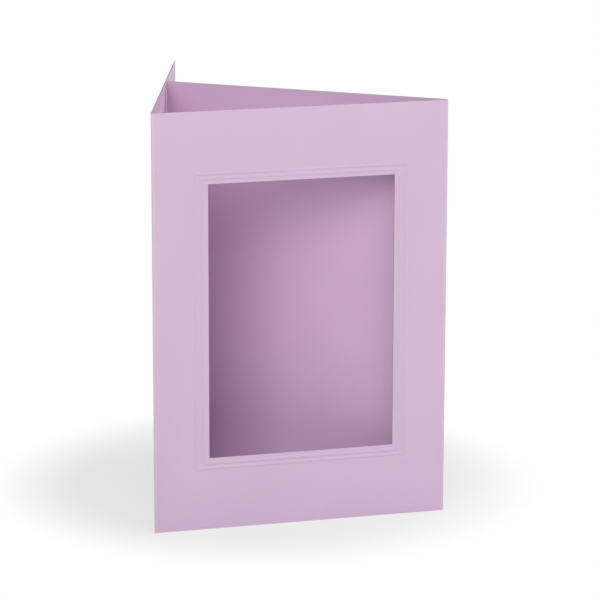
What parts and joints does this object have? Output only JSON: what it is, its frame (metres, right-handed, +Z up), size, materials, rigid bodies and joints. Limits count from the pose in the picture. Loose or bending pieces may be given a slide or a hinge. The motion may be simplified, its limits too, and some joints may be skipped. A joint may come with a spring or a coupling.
{
  "type": "passe-partout card",
  "caption": "Folded card that stands on its own, with a picture window framed by embossed lines in its front panel.",
  "frame": {"origin": "on the surface the card stands on, under the middle of its bounding box", "axes": "+Z up along the card's height, -Y out of the front panel with the window, +X to the right seen from the front"},
  "size_m": [0.105, 0.1006, 0.148],
  "materials": {
    "card": "matt, smooth dyed card with a fine fibre"
  },
  "bodies": {
    "root": {"folded_card": "card"}
  },
  "joints": []
}
